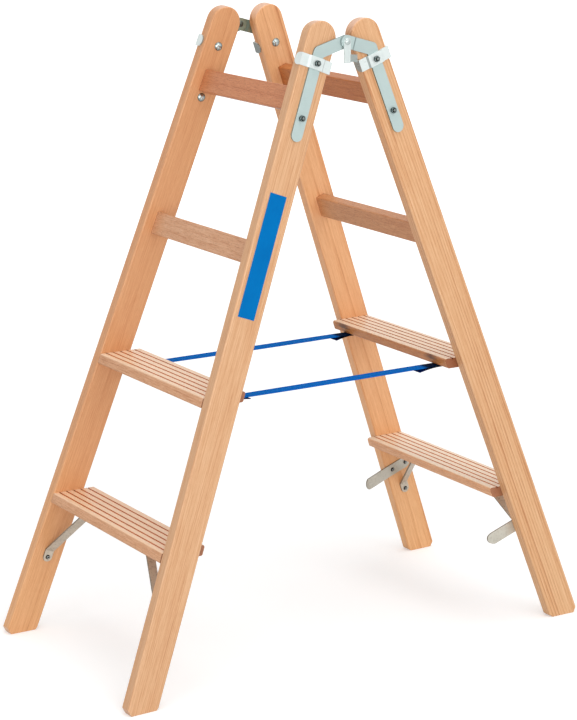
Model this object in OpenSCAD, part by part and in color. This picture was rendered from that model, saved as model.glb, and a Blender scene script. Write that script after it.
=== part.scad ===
// Double-sided wooden trestle ladder: two hinged sections with two treads and two rungs each.
// +Z is up, X runs from the front section to the rear section, Y runs along the hinge axis.
// The origin lies on the floor, in the middle of the four feet.

/* [Sections] */
// Lean of each section from upright when the ladder stands open, degrees
tilt = 20.25; // [14:0.25:26]
// Sideways lean of each stile in its section, degrees
flare = 3.6; // [2:0.1:5]
// Distance between the stile centre lines on the floor
foot_spacing = 480; // [400:1:600]

/* [Stiles] */
// Depth of a stile, seen from the side of the ladder
stile_depth = 61; // [50:0.5:75]
// Thickness of a stile
stile_thick = 24; // [19:0.5:32]
// Radius on the long edges of a stile
stile_round = 3; // [1:0.5:5]
// Depth of the cut on the outer bottom edge of a foot, along the floor
toe_cut = 10.5; // [5:0.5:15]
// Height of the cut on the outer bottom edge of a foot
toe_rise = 12; // [6:0.5:15]
// Chamfer on the inner bottom edge of a foot
heel_chamfer = 4; // [1:0.5:7]

/* [Steps] */
// Distance from the floor to the first tread, along the section
first_rise = 289; // [230:1:350]
// Distance from one step to the next, along the section
step_pitch = 280; // [230:1:340]
// Distance from the top rung to the head of the stiles, along the section
head_rise = 120; // [95:1:150]
// Depth of a tread, front to back
tread_depth = 88; // [82:0.5:108]
// Thickness of a tread
tread_thick = 19; // [16:0.5:24]
// Radius on the tread's long edges
tread_round = 4; // [1:0.25:5]
// Chamfer on the free corners of a tread
tread_corner = 3; // [1:0.5:6]
// Number of grip grooves along a tread
groove_count = 5; // [3:1:5]
// Width of a grip groove
groove_w = 2.5; // [2:0.1:4]
// Depth of a grip groove
groove_deep = 2.5; // [1.5:0.1:3]
// Distance from a tread's outer edge to the first groove
groove_margin = 11.5; // [9:0.25:14]
// Distance from one groove to the next
groove_pitch = 14.75; // [12:0.25:15]
// Height of a rung
rung_h = 42.5; // [34:0.5:50]
// Thickness of a rung
rung_thick = 20; // [16:0.5:26]
// Radius on a rung's long edges
rung_round = 2.5; // [1:0.25:5]
// Length of the tenons in the stiles
tenon_long = 15; // [10:0.5:18]
// Thickness of a tread's tenon
tread_tenon = 9; // [6:0.5:12]
// Shoulder round a rung's tenon
rung_shoulder = 4; // [2:0.5:6]

/* [Hinges] */
// Distance from the stiles' inner edge to the hinge axis
pivot_reach = 16; // [10:0.5:24]
// Distance from the head of the stiles down to the hinge axis, along the section
pivot_drop = 21; // [15:0.5:30]
// Distance from the head of the stiles down to the upper hinge bolt, along the section
bolt_drop = 76; // [62:0.5:92]
// Width of a hinge arm
arm_w = 23; // [18:0.5:28]
// Thickness of a hinge arm
arm_thick = 3; // [2:0.25:4]
// Length of the arm between the band and the bend
arm_neck = 9.5; // [8:0.25:14]
// Length of the arm below its lower bolt
arm_tail = 41; // [25:0.5:55]
// Run of the step that takes the rear arm outside the front arm
joggle_run = 4.5; // [3:0.25:8]
// Height of a band
band_h = 22; // [17:0.5:27]
// Thickness of a band
band_thick = 2.5; // [1.5:0.25:3.5]
// Length of a band's tabs along the stile edges
band_wrap = 17; // [14:0.5:21]
// Diameter of the hinge pin
pin_d = 8; // [6:0.25:10]
// Diameter of the pin's heads
pin_head_d = 12; // [10.5:0.25:15]
// Height of the pin's heads
pin_head_h = 3; // [2:0.25:4.5]
// Width of the latch lever
lever_w = 14; // [12:0.25:18]
// Length of the latch lever below the pin
lever_long = 38; // [32:0.5:46]
// Thickness of the latch lever
lever_thick = 2; // [1.5:0.25:3]
// Length of the lever's thumb tab
tab_long = 13; // [9:0.5:18]
// Height of the lever's thumb tab
tab_h = 13; // [9:0.5:18]
// Angle by which the thumb tab is bent outwards, degrees
tab_bend = 48; // [30:1:65]

/* [Fasteners] */
// Diameter of the carriage bolts
bolt_d = 6; // [5:0.25:8]
// Diameter of the carriage bolt heads
bolt_head_d = 16; // [13:0.5:19]
// Height of the carriage bolt heads
bolt_head_h = 3.5; // [2.5:0.25:5]
// Gap between the lower bolt heads and the top rung
bolt_rung_gap = 1.3; // [0.8:0.1:3]
// Width of a nut across its flats
nut_flats = 10; // [8:0.5:13]
// Height of a nut
nut_h = 5; // [4:0.25:6.5]
// Length of thread that stands out of a nut
thread_end = 3; // [1.5:0.25:5]
// Diameter of the wood screws
screw_d = 4; // [3:0.25:5]
// Diameter of the wood screw heads
screw_head_d = 9; // [7:0.25:11]
// Height of the wood screw heads
screw_head_h = 2.8; // [2:0.1:4]
// Length of a wood screw in the wood
screw_bite = 11; // [8:0.5:14]

/* [Braces] */
// Width of a tread brace
brace_w = 18; // [14:0.5:22]
// Thickness of a tread brace
brace_thick = 3; // [2:0.25:4]
// Distance from the tread's underside down to the brace's screw, along the section
brace_drop = 113; // [90:1:140]
// Distance from the stile to the brace's screw in the tread
brace_reach = 112; // [85:1:140]
// Length of the brace's flat end on the stile, measured from its screw
brace_foot = 13; // [11.5:0.5:24]
// Length of the brace's flat end on the tread, measured from its screw
brace_flat = 18; // [12:0.5:24]

/* [Guides] */
// Width of a guide bar
guide_w = 24; // [19:0.5:30]
// Thickness of a guide bar
guide_thick = 3; // [2:0.25:4]
// Distance from the lower tread's underside down to a guide bar, along the section
guide_drop = 57; // [46:1:68]
// Distance between the two screws of a guide bar
guide_screw_pitch = 34; // [27:0.5:41]
// Distance from a screw to the end of the bar on the stile
guide_end = 10; // [8:0.5:13]
// Reach of a guide bar beyond the stile
guide_reach = 50; // [40:0.5:60]
// Inward set of a guide bar at the end of its reach
guide_set = 2; // [1.5:0.25:4]
// Length of the flared lip
guide_lip = 10; // [8:0.5:15]
// Angle of the flared lip, degrees
guide_flare = 28; // [15:1:40]

/* [Straps] */
// Width of a strap
strap_w = 25; // [20:0.5:32]
// Thickness of the strap webbing
strap_thick = 1.6; // [1:0.1:2.5]
// Distance from a strap's centre line to the stile
strap_inset = 44; // [36:0.5:60]
// Distance from the tread's inner edge to the strap screw
strap_hold = 32; // [24:0.5:40]
// Length of strap beyond its screw
strap_tail = 14; // [10:0.5:20]
// Length of the doubled front end that shows beyond the tread
strap_fold_front = 14; // [10:1:90]
// Length of the doubled rear end that shows beyond the tread
strap_fold_rear = 42; // [10:1:90]

/* [Label] */
// Length of the label
label_long = 224; // [180:1:270]
// Width of the label
label_w = 35; // [28:0.5:42]
// Thickness of the label
label_thick = 0.4; // [0.3:0.05:0.8]
// Distance from the hinge arm's lower end down to the label
label_drop = 98; // [20:1:180]
// Distance of the label's centre line from the stile's, towards the front
label_shift = 3.5; // [0:0.5:6]

/* [Fits] */
// Clearance round tenons, screws and bolts
wood_fit = 0.1; // [0.05:0.05:0.2]
// Radial running clearance of the hinge pins
pin_fit = 0.08; // [0.05:0.01:0.1]
// Gap between plates that slide past each other
plate_gap = 0.3; // [0.3:0.05:0.6]
// Gap between a strap and what it lies against
strap_gap = 0.3; // [0.3:0.05:0.5]

/* [Hidden] */
$fn = 48;

// Colours
pine = [0.88, 0.70, 0.53];
beech = [0.82, 0.62, 0.48];
zinc = [0.78, 0.84, 0.84];
dull_steel = [0.68, 0.66, 0.61];
strap_blue = [0.05, 0.36, 0.72];
label_blue = [0.04, 0.47, 0.76];

// Steps: their order from the floor up
lower_tread = 0;
upper_tread = 1;
lower_rung = 2;
upper_rung = 3;

// Heights along a section, measured in its own plane from the floor
function step_v(i) = first_rise + i * step_pitch;
top_v = step_v(upper_rung) + head_rise;
function rung_top_v(i) = step_v(i) - rung_thick / 2 * tan(tilt);
function tread_top_z(i) = step_v(i) * cos(tilt);
function tread_under_z(i) = tread_top_z(i) - tread_thick;
function tread_under_v(i) = tread_under_z(i) / cos(tilt);

// Depths across a section, measured inwards from the stile centre line
edge_w = stile_depth / 2;
tread_in_w = tread_depth * cos(tilt) - edge_w;
pivot_w = edge_w + pivot_reach;

// Hinge axis and the feet below it
pivot_v = top_v - pivot_drop;
foot_x = pivot_v * sin(tilt) + pivot_w * cos(tilt);
pivot_z = pivot_v * cos(tilt) - pivot_w * sin(tilt);

// Distances of the stile faces from the middle of the ladder, at a height along the section
half_face = stile_thick / 2 / cos(flare);
function inner_y(v) = foot_spacing / 2 - v * tan(flare) - half_face;
function outer_y(v) = foot_spacing / 2 - v * tan(flare) + half_face;

// Lengths along a stile
top_u = top_v / cos(flare);
upper_bolt_u = (top_v - bolt_drop) / cos(flare);
lower_bolt_v = rung_top_v(upper_rung) - rung_h - bolt_rung_gap - bolt_head_d / 2;
lower_bolt_u = lower_bolt_v / cos(flare);
brace_u = (tread_under_v(lower_tread) - brace_drop) / cos(flare);
guide_u = (tread_under_v(lower_tread) - guide_drop) / cos(flare);
label_top_u = lower_bolt_u - arm_tail - label_drop;

// Hinge arm: the fold where it leaves the stile's face, and its bend
arm_fold_v = top_v - bolt_drop + band_h / 2 + plate_gap;
arm_bend_v = arm_fold_v + arm_neck;
arm_y = outer_y(arm_fold_v);
arm_rise = atan2(pivot_v - arm_bend_v, pivot_w);
joggle_start = arm_w / 2 + arm_thick;
layer_step = arm_thick + plate_gap;
lever_out = 2 * layer_step;

// Guide bar along the depth of the rear section
guide_bend_w = edge_w + guide_reach;
guide_tip_w = guide_bend_w + guide_lip * cos(guide_flare);

// Straps
strap_y = inner_y(tread_under_v(upper_tread)) - strap_inset;
strap_top_z = tread_under_z(upper_tread) - strap_gap;
strap_under_z = strap_top_z - 2 * strap_thick;
tread_edge_x = foot_x - tread_under_z(upper_tread) * tan(tilt) - tread_in_w / cos(tilt);
strap_screw_x = tread_edge_x + strap_hold;

// Sizes of cutting blocks and of overlaps inside one solid
far_away = 4 * foot_spacing;
overlap = 1;

// Frames: a section, its mirror image, and a stile within a section

// Puts a section's own frame (depth, width, height along the section) in the ladder, at the front
module in_front() {
  translate([-foot_x, 0, 0]) rotate([0, tilt, 0]) children();
}

// The same for the rear section, which mirrors the front one
module in_section(rear) {
  if (rear) mirror([1, 0, 0]) in_front() children();
  else in_front() children();
}

// Mirrors a front piece that is drawn in the ladder's frame to the rear
module at_end(rear) {
  if (rear) mirror([1, 0, 0]) children();
  else children();
}

// Mirrors a near piece to the far side
module on_side(far) {
  if (far) mirror([0, 1, 0]) children();
  else children();
}

// Frame of the near stile in its section: depth, thickness (outwards negative), length
module in_stile() {
  translate([0, -foot_spacing / 2, 0]) rotate([-flare, 0, 0]) children();
}

// Frame of a hinge bolt: its axis points outwards from the stile's inner face
module at_bolt(u) {
  translate([0, stile_thick / 2, u]) rotate([90, 0, 0]) children();
}

// Frame of a screw in the stile's inner face, with its head at the surface of a fitting
module at_stile_screw(w, u, fitting) {
  translate([w, stile_thick / 2 + fitting, u]) rotate([90, 0, 0]) children();
}

// Frame of a front tread: its origin is the front top edge
module in_tread(i) {
  translate([-foot_x + tread_top_z(i) * tan(tilt) - edge_w / cos(tilt), 0, tread_top_z(i)]) children();
}

// Flat shapes

module rounded_rect(w, h, r) {
  square([w - 2 * r, h], center = true);
  square([w, h - 2 * r], center = true);
  for (x = [-1, 1], y = [-1, 1])
    translate([x * (w / 2 - r), y * (h / 2 - r)]) circle(r);
}

// Strip with a round end at its origin, running up
module round_end_strip(w, long) {
  circle(d = w);
  translate([-w / 2, 0]) square([w, long]);
}

// Strip with two round ends, from x = a to x = b
module slot_shape(a, b, w) {
  translate([a + w / 2, 0]) circle(d = w);
  translate([b - w / 2, 0]) circle(d = w);
  translate([a + w / 2, -w / 2]) square([b - a - w, w]);
}

// Convex outline with round corners; each corner is given by the centre of its arc
module round_corners(centres, r) {
  count = len(centres);
  polygon(centres);
  for (i = [0 : count - 1]) {
    a = centres[i];
    b = centres[(i + 1) % count];
    side = r * [b.y - a.y, a.x - b.x] / norm(b - a);
    translate(a) circle(r);
    polygon([a, a + side, b + side, b]);
  }
}

// Stiles

// Half of the stile's section, for the round head
module stile_half_section() {
  r = stile_round;
  translate([0, -stile_thick / 2]) square([edge_w - r, stile_thick]);
  translate([0, -stile_thick / 2 + r]) square([edge_w, stile_thick - 2 * r]);
  for (y = [-1, 1])
    translate([edge_w - r, y * (stile_thick / 2 - r)]) circle(r);
}

// Bar with rounded edges and a full round head, long enough to be cut off at the floor
module stile_blank() {
  translate([0, 0, -stile_depth])
    linear_extrude(top_u - edge_w + stile_depth) rounded_rect(stile_depth, stile_thick, stile_round);
  translate([0, 0, top_u - edge_w])
    rotate([90, 0, 0]) rotate_extrude(angle = 180) stile_half_section();
}

// Side view of what lies outside the slanting cut on a foot's toe, measured from the uncut toe
module toe_waste() {
  low = [toe_cut, 0];
  high = toe_rise * [tan(tilt), 1];
  run = high - low;
  out = [stile_depth, 0];
  polygon([low - run, high + run, high + run - out, low - run - out]);
}

// Everything below the floor, the cut on the toe, and the chamfer on the inner edge
module floor_cut() {
  translate([0, 0, -far_away / 2]) cube(far_away, center = true);
  translate([-foot_x - edge_w / cos(tilt), 0, 0]) rotate([90, 0, 0])
    linear_extrude(far_away, center = true) toe_waste();
  translate([-foot_x + edge_w / cos(tilt), 0, 0]) rotate([0, 45, 0])
    cube([sqrt(2) * heel_chamfer, far_away, sqrt(2) * heel_chamfer], center = true);
}

// Holes for the bolts and screws of the near stile
module stile_holes(rear) {
  for (u = [upper_bolt_u, lower_bolt_u])
    at_bolt(u) translate([0, 0, -overlap]) cylinder(d = bolt_d + 2 * wood_fit, h = stile_thick + 2 * overlap);
  at_stile_screw(0, brace_u, 0) screw_hole();
  if (rear)
    for (side = [-1, 1])
      at_stile_screw(side * guide_screw_pitch / 2, guide_u, 0) screw_hole();
}

module stile(rear, far) {
  color(pine) at_end(rear) on_side(far) difference() {
    in_front() in_stile() stile_blank();
    floor_cut();
    for (i = [lower_tread, upper_tread]) in_tread(i) tread_tenons(i, wood_fit);
    for (i = [lower_rung, upper_rung]) in_front() rung_tenons(i, wood_fit);
    in_front() in_stile() stile_holes(rear);
  }
}

// Treads

// Space between the two stiles of a section
module between_stiles() {
  rotate([90, 0, 90]) linear_extrude(far_away, center = true) polygon([
    [-inner_y(0) + wood_fit, 0],
    [inner_y(0) - wood_fit, 0],
    [inner_y(top_v) - wood_fit, top_v],
    [-inner_y(top_v) + wood_fit, top_v]
  ]);
}

// Cross-section with sides parallel to the stiles, round long edges and grip grooves
module tread_section() {
  r = tread_round;
  slant = tread_thick * tan(tilt);
  top_in = r * (1 / cos(tilt) - tan(tilt));
  low_in = r * (1 / cos(tilt) + tan(tilt));
  difference() {
    round_corners([
      [-slant + low_in, -tread_thick + r],
      [tread_depth - slant - top_in, -tread_thick + r],
      [tread_depth - low_in, -r],
      [top_in, -r]
    ], r);
    for (i = [0 : groove_count - 1])
      translate([groove_margin + i * groove_pitch - groove_w / 2, -groove_deep])
        square([groove_w, groove_deep + overlap]);
  }
}

// Tenons at both ends of a tread, as one bar through it
module tread_tenons(i, grow) {
  margin = edge_w / 3;
  across = (stile_depth - 2 * margin) / cos(tilt) + 2 * grow;
  long = 2 * (inner_y(step_v(i)) + tenon_long + grow);
  middle_x = edge_w / cos(tilt) - tread_thick / 2 * tan(tilt);
  translate([middle_x, 0, -tread_thick / 2])
    cube([across, long, tread_tenon + 2 * grow], center = true);
}

module tread_blank() {
  rotate([90, 0, 0]) linear_extrude(foot_spacing, center = true) tread_section();
}

// Chamfers on the two corners that stand free behind the stiles
module tread_corner_cuts(i) {
  for (side = [-1, 1])
    translate([tread_depth, side * inner_y(step_v(i)), 0])
      rotate([0, 0, 45])
        cube([sqrt(2) * tread_corner, sqrt(2) * tread_corner, 4 * tread_thick], center = true);
}

module tread(i, rear) {
  color(beech) at_end(rear) difference() {
    union() {
      intersection() {
        in_tread(i) difference() {
          tread_blank();
          tread_corner_cuts(i);
        }
        in_front() between_stiles();
      }
      in_tread(i) tread_tenons(i, 0);
    }
    for (far = [false, true]) on_side(far) {
      if (i == lower_tread) at_brace_tread_screw(0) screw_hole();
      if (i == upper_tread) at_strap_screw(0) screw_hole();
    }
  }
}

// Rungs

module rung_tenons(i, grow) {
  h = rung_h - 2 * rung_shoulder + 2 * grow;
  long = 2 * (inner_y(rung_top_v(i) - rung_h / 2) + tenon_long + grow);
  translate([0, 0, rung_top_v(i) - rung_h / 2])
    cube([rung_thick - 2 * rung_shoulder + 2 * grow, long, h], center = true);
}

module rung(i, rear) {
  color(beech) in_section(rear) {
    intersection() {
      translate([0, 0, rung_top_v(i) - rung_h / 2]) rotate([90, 0, 0])
        linear_extrude(foot_spacing, center = true) rounded_rect(rung_thick, rung_h, rung_round);
      between_stiles();
    }
    rung_tenons(i, 0);
  }
}

// Hinge arms

// Arm seen from its face: round lower end, bend with a round outer corner, round end at the hinge axis
module arm_outline() {
  r = arm_w / 2;
  low = [0, (lower_bolt_u - arm_tail) * cos(flare) + r];
  bend = [0, arm_bend_v];
  pivot = [pivot_w, pivot_v];
  side = r * [-sin(arm_rise), cos(arm_rise)];
  polygon([
    low - [r, 0],
    low + [r, 0],
    bend + [r, -r * tan(45 - arm_rise / 2)],
    pivot - side,
    pivot + side,
    bend + side,
    bend,
    bend - [r, 0]
  ]);
  translate(low) circle(r);
  translate(bend) intersection() {
    circle(r);
    translate([-r, 0]) square([2 * r, r]);
  }
  translate(pivot) circle(r);
}

// Plate seen from its edge: on the stile's outer face up to the fold, upright above it
module arm_plate() {
  rotate([90, 0, 90]) linear_extrude(far_away, center = true) polygon([
    [-outer_y(0), 0],
    [-arm_y, arm_fold_v],
    [-arm_y, 2 * top_v],
    [-arm_y - arm_thick, 2 * top_v],
    [-arm_y - arm_thick, arm_fold_v + arm_thick * tan(flare / 2)],
    [-outer_y(0) - arm_thick / cos(flare), 0]
  ]);
}

// Frame at the hinge axis, with its first axis along the arm towards the bend
module along_arm() {
  translate([pivot_w, -arm_y, pivot_v]) rotate([0, 180 - arm_rise, 0]) children();
}

// Plate that steps outwards near the hinge axis, so the rear arm passes outside the front arm
module stepped_plate() {
  lap = arm_thick * tan(atan2(layer_step, joggle_run) / 2);
  ending = joggle_start + joggle_run;
  joint = ending + lap + arm_thick;
  difference() {
    arm_plate();
    along_arm() translate([joint - far_away / 2, 0, 0]) cube(far_away, center = true);
  }
  along_arm() linear_extrude(far_away, center = true) polygon([
    [-arm_w, -layer_step],
    [joggle_start, -layer_step],
    [ending, 0],
    [joint, 0],
    [joint, -arm_thick],
    [ending + lap, -arm_thick],
    [joggle_start + lap, -layer_step - arm_thick],
    [-arm_w, -layer_step - arm_thick]
  ]);
}

module pivot_bore(fit) {
  translate([pivot_w, 0, pivot_v]) rotate([90, 0, 0])
    cylinder(d = pin_d + 2 * fit, h = far_away, center = true);
}

module bolt_bores(us) {
  in_stile() for (u = us)
    at_bolt(u) cylinder(d = bolt_d + 2 * wood_fit, h = 2 * stile_thick);
}

module hinge_arm(rear, far) {
  color(zinc) in_section(rear) on_side(far) difference() {
    intersection() {
      rotate([90, 0, 0]) linear_extrude(far_away, center = true) arm_outline();
      if (rear) stepped_plate();
      else arm_plate();
    }
    pivot_bore(rear ? pin_fit : 0);
    bolt_bores([upper_bolt_u, lower_bolt_u]);
  }
}

// Hinge bands

// Strip that follows the stile's faces and rises over the arm; grow moves it outwards
module band_outline(grow) {
  half = edge_w + grow;
  face = stile_thick / 2 + grow;
  hump = arm_w / 2 + grow;
  polygon([
    [-half, stile_thick],
    [-half, -face],
    [-hump - arm_thick, -face],
    [-hump, -face - arm_thick],
    [hump, -face - arm_thick],
    [hump + arm_thick, -face],
    [half, -face],
    [half, stile_thick]
  ]);
}

// Side view of a band: straight over the face, with half-round tabs along the edges
module band_side() {
  tab_end = band_wrap - stile_thick / 2;
  translate([tab_end - band_h / 2, 0]) circle(d = band_h);
  translate([-stile_thick, -band_h / 2]) square([stile_thick + tab_end - band_h / 2, band_h]);
}

module hinge_band(rear, far) {
  color(zinc) in_section(rear) on_side(far) difference() {
    in_stile() translate([0, 0, upper_bolt_u]) intersection() {
      linear_extrude(2 * band_h, center = true) difference() {
        band_outline(wood_fit + band_thick);
        band_outline(wood_fit);
      }
      rotate([90, 0, 90]) linear_extrude(far_away, center = true) band_side();
    }
    bolt_bores([upper_bolt_u]);
  }
}

// Hinge bolts, nuts and pins

// Flat-based dome below the origin plane, as a half section
module dome_half(d, h) {
  r = d / 2;
  ball = (r * r + h * h) / (2 * h);
  intersection() {
    translate([0, ball - h]) circle(ball);
    translate([0, -h]) square([r, h]);
  }
}

// Shaft with a chamfered end, from the origin plane up
module shaft(d, long) {
  chamfer = d / 6;
  cylinder(d = d, h = long - chamfer);
  translate([0, 0, long - chamfer]) cylinder(d1 = d, d2 = d - 2 * chamfer, h = chamfer);
}

module carriage_bolt(grip) {
  rotate_extrude() dome_half(bolt_head_d, bolt_head_h);
  shaft(bolt_d, grip + nut_h + thread_end);
}

module nut(grip) {
  translate([0, 0, grip]) difference() {
    cylinder(d = nut_flats / cos(30), h = nut_h, $fn = 6);
    translate([0, 0, -overlap]) cylinder(d = bolt_d + 2 * wood_fit, h = nut_h + 2 * overlap);
  }
}

// What an upper and a lower hinge bolt clamp: the stile and the arm, and above also the band
lower_grip = stile_thick + arm_thick;
upper_grip = lower_grip + band_thick + wood_fit;

module carriage_bolts(rear) {
  color(zinc) in_section(rear) for (far = [false, true]) on_side(far) in_stile() {
    at_bolt(upper_bolt_u) carriage_bolt(upper_grip);
    at_bolt(lower_bolt_u) carriage_bolt(lower_grip);
  }
}

module hinge_nuts(rear) {
  color(zinc) in_section(rear) for (far = [false, true]) on_side(far) in_stile() {
    at_bolt(upper_bolt_u) nut(upper_grip);
    at_bolt(lower_bolt_u) nut(lower_grip);
  }
}

// Riveted pin through both arms, and on the near side also the lever, with a domed head at each end
module hinge_pin(far) {
  head_out = far ? lever_out : lever_out + lever_thick + plate_gap;
  color(zinc) on_side(far) translate([0, -arm_y, pivot_z]) rotate([90, 0, 0]) {
    rotate_extrude() dome_half(pin_head_d, pin_head_h);
    cylinder(d = pin_d, h = head_out);
    translate([0, 0, head_out]) mirror([0, 0, 1]) rotate_extrude() dome_half(pin_head_d, pin_head_h);
  }
}

// Latch lever on the near pin

module latch_lever() {
  color(zinc) translate([0, -arm_y - lever_out, pivot_z]) difference() {
    union() {
      rotate([90, 0, 0]) linear_extrude(lever_thick) mirror([0, 1]) round_end_strip(lever_w, lever_long);
      translate([lever_w / 2, 0, -lever_long + lever_thick]) rotate([0, 0, -tab_bend])
        translate([0, -lever_thick, 0]) cube([tab_long, lever_thick, tab_h]);
    }
    rotate([90, 0, 0]) cylinder(d = pin_d + 2 * pin_fit, h = 4 * lever_thick, center = true);
  }
}

// Wood screws

// Pan-head screw: its head lies below the origin plane, its shank passes through a fitting into the wood
module wood_screw(fitting) {
  rotate_extrude() dome_half(screw_head_d, screw_head_h);
  shaft(screw_d, fitting + screw_bite);
}

module screw_hole() {
  translate([0, 0, -overlap]) cylinder(d = screw_d + 2 * wood_fit, h = screw_bite + overlap + wood_fit);
}

module through_hole(thick) {
  translate([0, 0, -thick]) cylinder(d = screw_d + 2 * wood_fit, h = 3 * thick);
}

// Tread braces

// Frame of the brace's screw in the lower tread: its axis points up
module at_brace_tread_screw(fitting) {
  z = tread_under_z(lower_tread);
  y = brace_reach - inner_y(tread_under_v(lower_tread));
  translate([-foot_x + z * tan(tilt), y, z - fitting]) children();
}

// Flat end on the stile's inner face
module brace_lower_end() {
  at_stile_screw(0, brace_u, brace_thick)
    linear_extrude(brace_thick) round_end_strip(brace_w, brace_foot);
}

// Flat end on the tread's underside
module brace_upper_end() {
  at_brace_tread_screw(brace_thick)
    linear_extrude(brace_thick) rotate(180) round_end_strip(brace_w, brace_flat);
}

// Sloping part, between the two flat ends, cut off at the stile's face and the tread's underside
module brace_slope() {
  low_v = (brace_u + brace_foot) * cos(flare);
  low_y = -inner_y(low_v) + brace_thick / 2;
  high_v = tread_under_v(lower_tread) - brace_thick / 2;
  high_y = brace_reach - brace_flat - inner_y(tread_under_v(lower_tread));
  slope = atan2(high_v - low_v, high_y - low_y);
  long = norm([high_v - low_v, high_y - low_y]);
  difference() {
    in_front() translate([0, low_y, low_v]) rotate([slope, 0, 0])
      translate([-brace_w / 2, -brace_thick / 2, -brace_thick / 2])
        cube([brace_w, long + brace_w / 2, brace_thick]);
    translate([0, 0, tread_under_z(lower_tread) + far_away / 2]) cube(far_away, center = true);
    in_front() in_stile() translate([0, stile_thick / 2 - far_away / 2, 0]) cube(far_away, center = true);
  }
}

module tread_brace(rear, far) {
  color(dull_steel) at_end(rear) on_side(far) difference() {
    union() {
      in_front() in_stile() brace_lower_end();
      brace_slope();
      brace_upper_end();
    }
    in_front() in_stile() at_stile_screw(0, brace_u, brace_thick) through_hole(brace_thick);
    at_brace_tread_screw(brace_thick) through_hole(brace_thick);
  }
}

module brace_screws(rear) {
  color(zinc) at_end(rear) for (far = [false, true]) on_side(far) {
    in_front() in_stile() at_stile_screw(0, brace_u, brace_thick) wood_screw(brace_thick);
    at_brace_tread_screw(brace_thick) wood_screw(brace_thick);
  }
}

// Guide bars of the rear section

// Bar seen from its edge: flat on the stile, set inwards beyond it, with a flared lip
module guide_profile() {
  face = stile_thick / 2;
  tip = face + guide_set + guide_lip * sin(guide_flare);
  start = -guide_screw_pitch / 2 - guide_end;
  polygon([
    [start, face],
    [edge_w, face],
    [guide_bend_w, face + guide_set],
    [guide_tip_w, tip],
    [guide_tip_w, tip + guide_thick],
    [guide_bend_w, face + guide_set + guide_thick],
    [edge_w, face + guide_thick],
    [start, face + guide_thick]
  ]);
}

module guide_bar(far) {
  start = -guide_screw_pitch / 2 - guide_end;
  color(dull_steel) in_section(true) on_side(far) in_stile() difference() {
    intersection() {
      translate([0, 0, guide_u]) linear_extrude(2 * guide_w, center = true) guide_profile();
      translate([0, 0, guide_u]) rotate([90, 0, 0])
        linear_extrude(far_away, center = true) slot_shape(start, guide_tip_w, guide_w);
    }
    for (side = [-1, 1])
      at_stile_screw(side * guide_screw_pitch / 2, guide_u, guide_thick) through_hole(guide_thick);
  }
}

module guide_screws() {
  color(zinc) in_section(true) for (far = [false, true]) on_side(far) in_stile() for (side = [-1, 1])
    at_stile_screw(side * guide_screw_pitch / 2, guide_u, guide_thick) wood_screw(guide_thick);
}

// Straps

// Frame of a strap screw in the front upper tread: its axis points up
module at_strap_screw(fitting) {
  translate([-strap_screw_x, -strap_y, tread_under_z(upper_tread) - fitting]) children();
}

module strap(far) {
  end_x = strap_screw_x + strap_tail;
  fold_start = strap_tail + strap_hold;
  color(strap_blue) on_side(far) difference() {
    union() {
      translate([-end_x, -strap_y - strap_w / 2, strap_top_z - strap_thick])
        cube([2 * end_x, strap_w, strap_thick]);
      for (rear = [false, true]) at_end(rear)
        translate([-end_x, -strap_y - strap_w / 2, strap_under_z])
          cube([fold_start + (rear ? strap_fold_rear : strap_fold_front), strap_w, 2 * strap_thick]);
    }
    for (rear = [false, true]) at_end(rear)
      at_strap_screw(0) cylinder(d = screw_d + 2 * strap_gap, h = 8 * strap_thick, center = true);
  }
}

module strap_screws(rear) {
  fitting = 2 * strap_thick + 2 * strap_gap;
  color(zinc) at_end(rear) for (far = [false, true]) on_side(far)
    at_strap_screw(fitting) wood_screw(fitting);
}

// Label on the near stile of the front section

module stile_label() {
  color(label_blue) in_front() in_stile()
    translate([-label_shift - label_w / 2, -stile_thick / 2 - label_thick, label_top_u - label_long])
      cube([label_w, label_thick, label_long]);
}

// Nodes

stile(false, false);  // front_stile_near
stile(false, true);  // front_stile_far
tread(lower_tread, false);  // front_tread_lower
tread(upper_tread, false);  // front_tread_upper
rung(lower_rung, false);  // front_rung_lower
rung(upper_rung, false);  // front_rung_upper
hinge_arm(false, false);  // front_hinge_arm_near
hinge_arm(false, true);  // front_hinge_arm_far
hinge_band(false, false);  // front_hinge_band_near
hinge_band(false, true);  // front_hinge_band_far
carriage_bolts(false);  // front_carriage_bolts
hinge_nuts(false);  // front_hinge_nuts
tread_brace(false, false);  // front_tread_brace_near
tread_brace(false, true);  // front_tread_brace_far
brace_screws(false);  // front_brace_screws
strap_screws(false);  // front_strap_screws
stile(true, false);  // rear_stile_near
stile(true, true);  // rear_stile_far
tread(lower_tread, true);  // rear_tread_lower
tread(upper_tread, true);  // rear_tread_upper
rung(lower_rung, true);  // rear_rung_lower
rung(upper_rung, true);  // rear_rung_upper
hinge_arm(true, false);  // rear_hinge_arm_near
hinge_arm(true, true);  // rear_hinge_arm_far
hinge_band(true, false);  // rear_hinge_band_near
hinge_band(true, true);  // rear_hinge_band_far
carriage_bolts(true);  // rear_carriage_bolts
hinge_nuts(true);  // rear_hinge_nuts
tread_brace(true, false);  // rear_tread_brace_near
tread_brace(true, true);  // rear_tread_brace_far
brace_screws(true);  // rear_brace_screws
strap_screws(true);  // rear_strap_screws
guide_bar(false);  // rear_guide_bar_near
guide_bar(true);  // rear_guide_bar_far
guide_screws();  // rear_guide_screws
hinge_pin(false);  // hinge_pin_near
hinge_pin(true);  // hinge_pin_far
latch_lever();
strap(false);  // strap_near
strap(true);  // strap_far
stile_label();
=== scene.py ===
"""Wooden trestle ladder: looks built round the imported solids, in metres, in the same frame."""

import math

import bmesh
import bpy
import numpy as np
from mathutils import Matrix, Vector


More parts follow.
